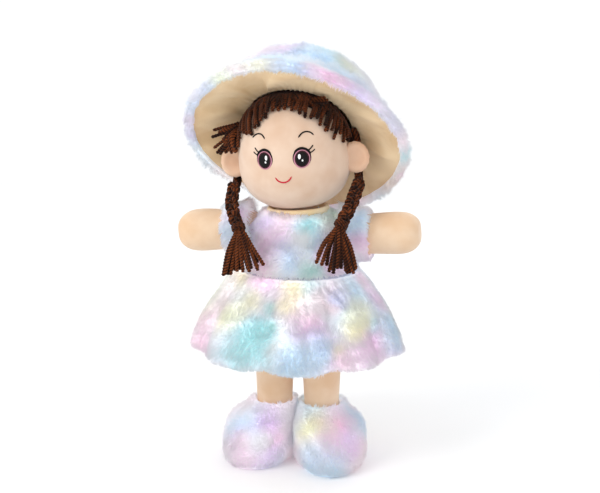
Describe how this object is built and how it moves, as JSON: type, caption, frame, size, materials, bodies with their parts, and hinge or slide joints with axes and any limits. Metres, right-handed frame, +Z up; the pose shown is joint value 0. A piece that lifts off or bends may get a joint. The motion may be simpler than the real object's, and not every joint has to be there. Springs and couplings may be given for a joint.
{
  "type": "plush doll",
  "caption": "Standing stuffed rag doll in a tie-dyed plush dress, shoes and tilted brim hat, with embroidered face, yarn fringe and braids.",
  "frame": {"origin": "on the floor under the middle of the doll, centred in width and depth", "axes": "+Z up, the doll faces -Y, its left side is +X"},
  "size_m": [0.2292, 0.1895, 0.3903],
  "materials": {
    "cotton": "soft brushed cotton",
    "limb_cotton": "soft brushed cotton",
    "fibre": "loose polyester fibre",
    "plush": "long pile plush, tie-dyed in pastel lilac, pink, blue and yellow",
    "lining": "plain woven cotton",
    "yarn": "matt twisted yarn",
    "board": "matt"
  },
  "bodies": {
    "trunk": {"body_skin": "cotton", "body_filling": "fibre", "bodice": "plush", "neck_binding": "lining", "skirt": "plush"},
    "left_leg": {"left_leg_skin": "limb_cotton", "left_leg_filling": "fibre", "left_shoe_upper": "plush", "left_shoe_sole": "plush", "left_sole_board": "board", "left_shoe_filling": "fibre"},
    "left_arm": {"left_arm_skin": "limb_cotton", "left_arm_filling": "fibre", "left_sleeve": "plush"},
    "right_leg": {"right_leg_skin": "limb_cotton", "right_leg_filling": "fibre", "right_shoe_upper": "plush", "right_shoe_sole": "plush", "right_sole_board": "board", "right_shoe_filling": "fibre"},
    "right_arm": {"right_arm_skin": "limb_cotton", "right_arm_filling": "fibre", "right_sleeve": "plush"},
    "head": {"head_skin": "cotton", "head_filling": "fibre", "hair_cap": "yarn", "fringe": "yarn", "left_ear": "cotton", "left_side_hair": "yarn", "right_ear": "cotton", "right_side_hair": "yarn"},
    "left_braid_body": {"left_braid": "yarn", "left_braid_tie": "yarn", "left_tassel": "yarn"},
    "right_braid_body": {"right_braid": "yarn", "right_braid_tie": "yarn", "right_tassel": "yarn"},
    "hat": {"hat_crown": "plush", "hat_brim": "plush", "hat_crown_lining": "lining", "hat_brim_lining": "lining"}
  },
  "joints": [
    {"name": "head_turn", "type": "hinge", "parent": "trunk", "child": "head", "pos_m": [0, 0, 0.243], "axis": [0, 0, 1], "range_deg": [-8, 8]},
    {"name": "hat_lift", "type": "slide", "parent": "head", "child": "hat", "axis": [0.0234, 0.7431, 0.6687], "range_m": [0, 0.12]},
    {"name": "left_arm_swing", "type": "hinge", "parent": "trunk", "child": "left_arm", "pos_m": [0.0505, 0, 0.22], "axis": [0, -1, 0], "range_deg": [-16, 35]},
    {"name": "right_arm_swing", "type": "hinge", "parent": "trunk", "child": "right_arm", "pos_m": [-0.0505, 0, 0.22], "axis": [0, 1, 0], "range_deg": [-16, 35]},
    {"name": "left_hip_swing", "type": "hinge", "parent": "trunk", "child": "left_leg", "pos_m": [0.023, 0, 0.122], "axis": [-1, 0, 0], "range_deg": [-25, 35]},
    {"name": "right_hip_swing", "type": "hinge", "parent": "trunk", "child": "right_leg", "pos_m": [-0.023, 0, 0.122], "axis": [-1, 0, 0], "range_deg": [-25, 35]},
    {"name": "left_braid_swing", "type": "hinge", "parent": "head", "child": "left_braid_body", "pos_m": [0.05721, -0.004, 0.26807], "axis": [-0.9969, 0, -0.0785], "range_deg": [0, 35]},
    {"name": "right_braid_swing", "type": "hinge", "parent": "head", "child": "right_braid_body", "pos_m": [-0.06043, -0.004, 0.25881], "axis": [-0.9969, 0, -0.0785], "range_deg": [0, 35]}
  ]
}
